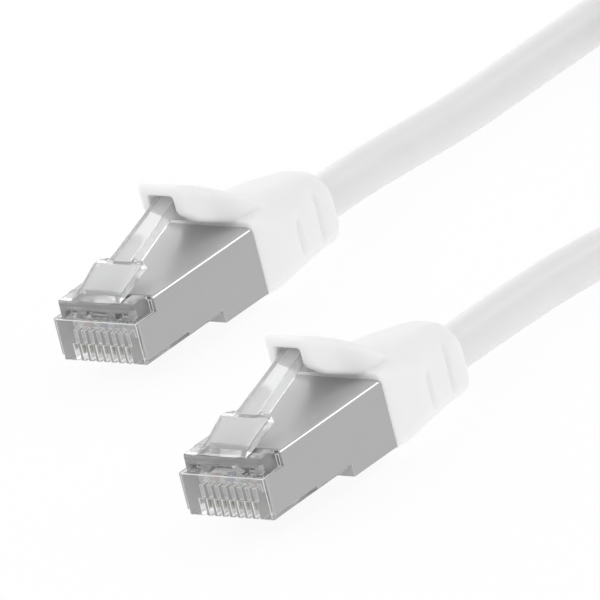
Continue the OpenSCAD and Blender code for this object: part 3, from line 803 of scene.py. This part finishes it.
def rolledSheetGroup():
    # lines left by rolling, long one way and fine the other
    group, given, out = newGroup("rolledSheet", {}, ("Height", "Tone"))
    stretched = stretchNode(group, given["Vector"], scale=(5200, 160, 5200))
    lines = noiseNode(group, stretched, scale=1, detail=4, rough=0.6)
    cloud = noiseNode(group, given["Vector"], scale=330, detail=3, rough=0.55)
    group.links.new(lines, out["Height"])
    group.links.new(weightedSum(group, (lines, 0.6), (cloud, 0.4)), out["Tone"])
    return group


def bendPolishAndPaintedLightGroup():
    # one mask grows as the largest of the normal's three parts falls and marks the bends' polish and painted
    # highlight, the other marks what faces up for the painted light on the top
    group, given, out = newGroup("bendPolishAndPaintedLight", {}, ("Bend", "Upward"))
    parts = group.nodes.new("ShaderNodeSeparateXYZ")
    group.links.new(given["Vector"], parts.inputs["Vector"])
    sizes = [mathNode(group, "ABSOLUTE", parts.outputs[axis]) for axis in "XYZ"]
    largest = mathNode(group, "MAXIMUM", mathNode(group, "MAXIMUM", sizes[0], sizes[1]), sizes[2])
    group.links.new(rangeNode(group, largest, span=(0.97, 0.85)), out["Bend"])
    group.links.new(rangeNode(group, parts.outputs["Z"], span=(0.7, 0.97)), out["Upward"])
    return group


mouldGrain, handlingMarks = mouldGrainGroup(), handlingGroup()
rolledSheet, bendPolishAndPaintedLight = rolledSheetGroup(), bendPolishAndPaintedLightGroup()


def startMaterial(name):
    # gives the material, its nodes, the sockets of its shader and the coordinates
    material = bpy.data.materials.new(name)
    material.use_nodes = True
    tree = material.node_tree
    coords = tree.nodes.new("ShaderNodeTexCoord").outputs
    return material, tree, tree.nodes["Principled BSDF"].inputs, coords


def placeGroup(tree, group, vector, **values):
    node = tree.nodes.new("ShaderNodeGroup")
    node.node_tree = group
    tree.links.new(vector, node.inputs["Vector"])
    for label, value in values.items():
        node.inputs[label].default_value = value
    return node.outputs


def ownMap(tree):
    uv = tree.nodes.new("ShaderNodeUVMap")
    uv.uv_map = "surface"
    return uv.outputs["UV"]


def addBump(tree, shader, height, strength, depth):
    bump = tree.nodes.new("ShaderNodeBump")
    bump.inputs["Strength"].default_value = strength
    bump.inputs["Distance"].default_value = depth
    tree.links.new(height, bump.inputs["Height"])
    tree.links.new(bump.outputs["Normal"], shader["Normal"])


def tintBetween(tree, mask, dark, light):
    return mixNode(tree, "RGBA", mask, (*dark, 1), (*light, 1))


# white vinyl of boots and jacket
vinylFinishes = {
    "bootVinyl": {
        "dark": (0.91, 0.91, 0.91), "light": (0.94, 0.94, 0.938), "rough": (0.42, 0.55),
        "grain": 7000.0, "bump": 0.12, "glow": 0.0006},
    "jacketVinyl": {
        "dark": (0.795, 0.795, 0.795), "light": (0.835, 0.835, 0.833), "rough": (0.34, 0.46),
        "grain": 5000.0, "bump": 0.08, "glow": 0.001},
}
vinylSkin = {"smudge": -0.35, "depth": 0.0001, "ior": 1.5, "dieLines": (0.05, 40, 1), "dieDepth": 0.8}


def vinylMaterial(name, f, onCord):
    material, tree, shader, coords = startMaterial(name)
    grain = placeGroup(tree, mouldGrain, coords["Object"], Grain=f["grain"])
    marks = placeGroup(tree, handlingMarks, coords["Object"])
    tree.links.new(tintBetween(tree, grain["Tone"], f["dark"], f["light"]), shader["Base Color"])
    shade = weightedSum(tree, (grain["Tone"], 1), (marks["Smudge"], vinylSkin["smudge"]))
    tree.links.new(rangeNode(tree, shade, wideSpan, f["rough"]), shader["Roughness"])
    height = grain["Height"]
    if onCord:
        # the extruder leaves long faint lines, so this part of the height follows the cord's own map
        stretched = stretchNode(tree, ownMap(tree), vinylSkin["dieLines"])
        lines = noiseNode(tree, stretched, scale=1, detail=2, rough=0.5)
        height = weightedSum(tree, (height, 1), (lines, vinylSkin["dieDepth"]))
    addBump(tree, shader, height, f["bump"], vinylSkin["depth"])
    shader["IOR"].default_value = vinylSkin["ior"]
    shader["Subsurface Weight"].default_value = 1.0
    shader["Subsurface Radius"].default_value = (1.0, 1.0, 1.0)
    shader["Subsurface Scale"].default_value = f["glow"]
    return material


# clear plastic of housing, latch and wire bar
clearFinishes = {
    "housingPlastic": {"colour": (0.97, 0.975, 0.975), "ior": 1.25, "rough": (0.02, 0.09), "clear": 0.8},
    "edgeHighlightPlastic": {"colour": (0.99, 0.99, 0.99), "ior": 1.3, "rough": (0.05, 0.12), "clear": 0.15},
    # the edge finish is a painted highlight along the housing's rounds
    "barPlastic": {"colour": (0.92, 0.92, 0.91), "ior": 1.5, "rough": (0.2, 0.35), "clear": 0.0},
    "latchPlastic": {"colour": (0.97, 0.975, 0.975), "ior": 1.35, "rough": (0.02, 0.09), "clear": 0.82},
}
clearSkin = {
    "grain": 2500.0, "wave": 420.0, "patch": 320.0, "smudge": 0.6, "scratch": 0.4, "bump": 0.06,
    "depth": 0.0002, "coat": 1.0, "coatRough": 0.04}


def clearMaterial(name, f):
    # the moulded skin shines more than the body bends light, so a coat lies over it
    material, tree, shader, coords = startMaterial(name)
    c = clearSkin
    grain = placeGroup(tree, mouldGrain, coords["Object"], Grain=c["grain"], Wave=c["wave"])
    marks = placeGroup(tree, handlingMarks, coords["Object"], Patch=c["patch"])
    cloudy = weightedSum(tree, (marks["Smudge"], c["smudge"]), (marks["Scratch"], c["scratch"]), clamp=True)
    tree.links.new(rangeNode(tree, cloudy, (0, 1), f["rough"]), shader["Roughness"])
    addBump(tree, shader, grain["Height"], c["bump"], c["depth"])
    shader["Base Color"].default_value = (*f["colour"], 1)
    shader["IOR"].default_value = f["ior"]
    shader["Transmission Weight"].default_value = f["clear"]
    shader["Coat Weight"].default_value = c["coat"]
    shader["Coat Roughness"].default_value = c["coatRough"]
    return material


# metals: the bend values are the tone and roughness of the bends; the lower roughness is polish and the paler
# tone is a painted highlight along the folds
metalFinishes = {
    "shieldSteel": {
        "dark": (0.43, 0.43, 0.432), "light": (0.52, 0.52, 0.52), "rough": (0.34, 0.44),
        # the top share is painted light that brightens the shield's upward faces
        "bend": (0.62, 0.26), "satin": 0.15, "paintedTopLightShare": 0.75, "bump": 0.12},
    # a paler tone for the shield's inner faces, painted light where the inside lies in shade
    "paleLiningPaintedLight": {
        "dark": (0.84, 0.84, 0.84), "light": (0.92, 0.92, 0.92), "rough": (0.3, 0.4),
        "bend": (0.9, 0.2), "satin": 0.6, "bump": 0.12},
    "contactGold": {
        "dark": (0.6, 0.56, 0.48), "light": (0.74, 0.7, 0.61), "rough": (0.2, 0.34),
        "bend": (0.6, 0.2), "bump": 0.06},
    "braidFoil": {
        "dark": (0.62, 0.63, 0.64), "light": (0.82, 0.82, 0.83), "rough": (0.2, 0.4),
        "bend": (0.8, 0.2), "bump": 0.3},
}
metalSkin = {"sheet": 0.7, "smudge": 0.3, "scratch": 0.5, "depth": 0.00003}


def metalMaterial(name, f):
    material, tree, shader, coords = startMaterial(name)
    c = metalSkin
    sheet = placeGroup(tree, rolledSheet, coords["Object"])
    marks = placeGroup(tree, handlingMarks, coords["Object"])
    # bends are polished by handling and carry a painted highlight: where the surface faces none of the three
    # axes squarely
    facing = placeGroup(tree, bendPolishAndPaintedLight, coords["Normal"])
    bright, smooth = f["bend"]
    shade = rangeNode(tree, sheet["Tone"], coreSpan)
    if "paintedTopLightShare" in f:
        # painted light: faces that look up get a brighter tone than the folded sides, standing in for the
        # light that falls on the top of the sheet
        shade = weightedSum(tree, (shade, 1 - f["paintedTopLightShare"]), (facing["Upward"], f["paintedTopLightShare"]))
    flat = tintBetween(tree, shade, f["dark"], f["light"])
    # painted highlight: the bends take a paler tone than the flat sheet
    tone = mixNode(tree, "RGBA", facing["Bend"], flat, (bright, bright, bright, 1))
    tree.links.new(tone, shader["Base Color"])
    worn = weightedSum(tree, (sheet["Tone"], c["sheet"]), (marks["Smudge"], c["smudge"]))
    dull = rangeNode(tree, worn, wideSpan, f["rough"])
    tree.links.new(mixNode(tree, "FLOAT", facing["Bend"], dull, smooth), shader["Roughness"])
    height = weightedSum(tree, (sheet["Height"], 1), (marks["Scratch"], c["scratch"]))
    addBump(tree, shader, height, f["bump"], c["depth"])
    shader["Metallic"].default_value = 1.0
    if "satin" in f:
        # a satin plating shows bare metal only on its bends
        tree.links.new(rangeNode(tree, facing["Bend"], (0, 1), (f["satin"], 1.0)), shader["Metallic"])
    return material


# wires: dark and light tone of each sleeve, where odd numbers are pale with a stripe
wireTints = {
    1: ((0.7, 0.52, 0.4), (0.82, 0.81, 0.79)), 2: ((0.58, 0.34, 0.23), (0.66, 0.41, 0.28)),
    3: ((0.38, 0.51, 0.4), (0.81, 0.82, 0.8)), 4: ((0.2, 0.24, 0.39), (0.25, 0.3, 0.48)),
    5: ((0.4, 0.46, 0.6), (0.8, 0.81, 0.83)), 6: ((0.18, 0.3, 0.21), (0.22, 0.37, 0.26)),
    7: ((0.44, 0.36, 0.3), (0.8, 0.78, 0.76)), 8: ((0.26, 0.2, 0.17), (0.32, 0.25, 0.21)),
}
wireSkin = {
    "grain": 5200.0, "wave": 700.0, "stripe": 260.0, "stripeWander": 0.6, "stripeEdge": (0.3, 0.36),
    "rough": (0.28, 0.42), "bump": 0.08, "depth": 0.00005}


def wireMaterial(number, tints, f):
    # solid colours get slow clouds; the pale wires get a coloured stripe that comes round in steps along them
    material, tree, shader, coords = startMaterial(f"wireSleeve{number}")
    grain = placeGroup(tree, mouldGrain, coords["Object"], Grain=f["grain"], Wave=f["wave"])
    mask = grain["Tone"]
    if number % 2:
        bands = tree.nodes.new("ShaderNodeTexWave")
        bands.bands_direction = "DIAGONAL"
        bands.inputs["Scale"].default_value = f["stripe"]
        bands.inputs["Distortion"].default_value = f["stripeWander"]
        tree.links.new(coords["Object"], bands.inputs["Vector"])
        mask = rangeNode(tree, bands.outputs["Fac"], f["stripeEdge"])
    tree.links.new(tintBetween(tree, mask, *tints), shader["Base Color"])
    tree.links.new(rangeNode(tree, grain["Tone"], wideSpan, f["rough"]), shader["Roughness"])
    addBump(tree, shader, grain["Height"], f["bump"], f["depth"])
    return material


# strap fabric
fabricFinish = {
    "dark": (0.5, 0.5, 0.5), "light": (0.74, 0.74, 0.735), "rough": (0.85, 0.98), "loops": (2.6, 44, 1),
    "loopDepth": -0.7, "fuzz": 4200, "fuzzDepth": 0.8, "napSpan": (-0.3, 0.5), "bump": 0.6,
    "depth": 0.0003, "sheen": 0.4}


def fabricMaterial(f):
    # rows of small loops across the strap's own map, broken up by fuzz
    material, tree, shader, coords = startMaterial("tieFabric")
    loops = tree.nodes.new("ShaderNodeTexVoronoi")
    loops.inputs["Scale"].default_value = 1.0
    tree.links.new(stretchNode(tree, ownMap(tree), f["loops"]), loops.inputs["Vector"])
    fuzz = noiseNode(tree, coords["Object"], f["fuzz"], detail=4, rough=0.7)
    nap = weightedSum(tree, (loops.outputs["Distance"], f["loopDepth"]), (fuzz, f["fuzzDepth"]))
    tone = tintBetween(tree, rangeNode(tree, nap, f["napSpan"]), f["dark"], f["light"])
    tree.links.new(tone, shader["Base Color"])
    tree.links.new(rangeNode(tree, fuzz, coreSpan, f["rough"]), shader["Roughness"])
    addBump(tree, shader, nap, f["bump"], f["depth"])
    shader["Sheen Weight"].default_value = f["sheen"]
    return material


plateMiddle = (0, 10, 5.5)  # a point inside the shield, from the plug's front


def linePlate(piece, end, lining):
    # painted light: faces that look towards the plug's middle get a paler lining tone, which stands in for
    # light on the sheet's shaded inside
    mesh = piece.data
    middle = (frontPlace(end) + plateMiddle) * mm
    centre, normal = np.zeros(len(mesh.polygons) * 3), np.zeros(len(mesh.polygons) * 3)
    mesh.polygons.foreach_get("center", centre)
    mesh.polygons.foreach_get("normal", normal)
    away = (centre.reshape(-1, 3) - middle) * normal.reshape(-1, 3)
    mesh.materials.append(lining)
    inwards = away[:, 0] + away[:, 2] < -0.1 * mm
    mesh.polygons.foreach_set("material_index", inwards.astype(np.int32))


def wear(obj, material):
    obj.data.materials.clear()
    obj.data.materials.append(material)


bootVinyl = vinylMaterial("bootVinyl", vinylFinishes["bootVinyl"], False)
jacketVinyl = vinylMaterial("jacketVinyl", vinylFinishes["jacketVinyl"], True)
jacketEndVinyl = vinylMaterial("jacketEndVinyl", vinylFinishes["jacketVinyl"], False)
clears = {name: clearMaterial(name, f) for name, f in clearFinishes.items()}
metals = {name: metalMaterial(name, f) for name, f in metalFinishes.items()}
wireSleeves = {n: wireMaterial(n, tints, wireSkin) for n, tints in wireTints.items()}

wear(cord, jacketVinyl)
wear(tie, fabricMaterial(fabricFinish))
for boot in boots:
    wear(boot, bootVinyl)
for latch in latches:
    wear(latch, clears["latchPlastic"])
for end in plugFronts:
    wear(plugPieces["load_bar", end], clears["barPlastic"])
    wear(plugPieces["housing", end], clears["housingPlastic"])
    plugPieces["housing", end].data.materials.append(clears["edgeHighlightPlastic"])
    wear(plugPieces["shield", end], metals["shieldSteel"])
    linePlate(plugPieces["shield", end], end, metals["paleLiningPaintedLight"])
    wear(nodes["foil_" + end], metals["braidFoil"])
    wear(nodes["jacket_end_" + end], jacketEndVinyl)
    for n in wireSleeves:
        wear(nodes[f"wire_{end}{n}"], wireSleeves[n])
        wear(nodes[f"contact_{end}{n}"], metals["contactGold"])
print("finishes on")

# studio: a glowing white table in a white tent, with softboxes behind, in front and on the left, in metres
studio = {
    "floorSize": 4.0,
    "floorDrop": 0.00002,
    "floorGlow": 0.9,
    "floorTone": 0.1,
    "floorRough": 0.9,
    "tent": 0.82,
    "aim": (0, 0.01, 0),
    "softboxes": {
        "backStrip": {"spot": (0.351, 0.684, 0.638), "size": (0.3, 0.12), "power": 0.6},
        "frontPanel": {"spot": (-0.42, -0.62, 0.6), "size": (0.6, 0.3), "power": 1.0},
        "leftPanel": {"spot": (-0.73, 0.4, 0.36), "size": (0.6, 0.3), "power": 0.9},
    },
}


def makeTent(c):
    world = bpy.data.worlds.new("whiteTent")
    bpy.context.scene.world = world
    world.use_nodes = True
    sky = world.node_tree.nodes["Background"]
    sky.inputs["Color"].default_value = (1, 1, 1, 1)
    sky.inputs["Strength"].default_value = c["tent"]
    view = bpy.context.scene.view_settings
    view.view_transform = "Standard"
    view.look = "None"


def makeFloor(c):
    r, z = c["floorSize"] / mm / 2, -c["floorDrop"] / mm
    corners = np.array([[-r, -r, z], [r, -r, z], [r, r, z], [-r, r, z]])
    floor = addObject("paleTable", meshFromArrays("paleTable", corners, np.array([[0, 1, 2, 3]])))
    material, _, shader, _ = startMaterial("paleTable")
    shader["Base Color"].default_value = (c["floorTone"],) * 3 + (1,)
    shader["Roughness"].default_value = c["floorRough"]
    shader["Specular IOR Level"].default_value = 0.0
    shader["Emission Color"].default_value = (1, 1, 1, 1)
    shader["Emission Strength"].default_value = c["floorGlow"]
    wear(floor, material)


def makeSoftbox(name, box, aim):
    data = bpy.data.lights.new(name, "AREA")
    data.shape = "RECTANGLE"
    data.size, data.size_y = box["size"]
    data.energy = box["power"]
    light = bpy.data.objects.new(name, data)
    spot = Vector(box["spot"])
    turned = (spot - Vector(aim)).to_track_quat("Z", "Y").to_matrix().to_4x4()
    light.matrix_world = Matrix.Translation(spot) @ turned
    bpy.context.scene.collection.objects.link(light)


makeTent(studio)
makeFloor(studio)
for name, box in studio["softboxes"].items():
    makeSoftbox(name, box, studio["aim"])
print("studio lit")
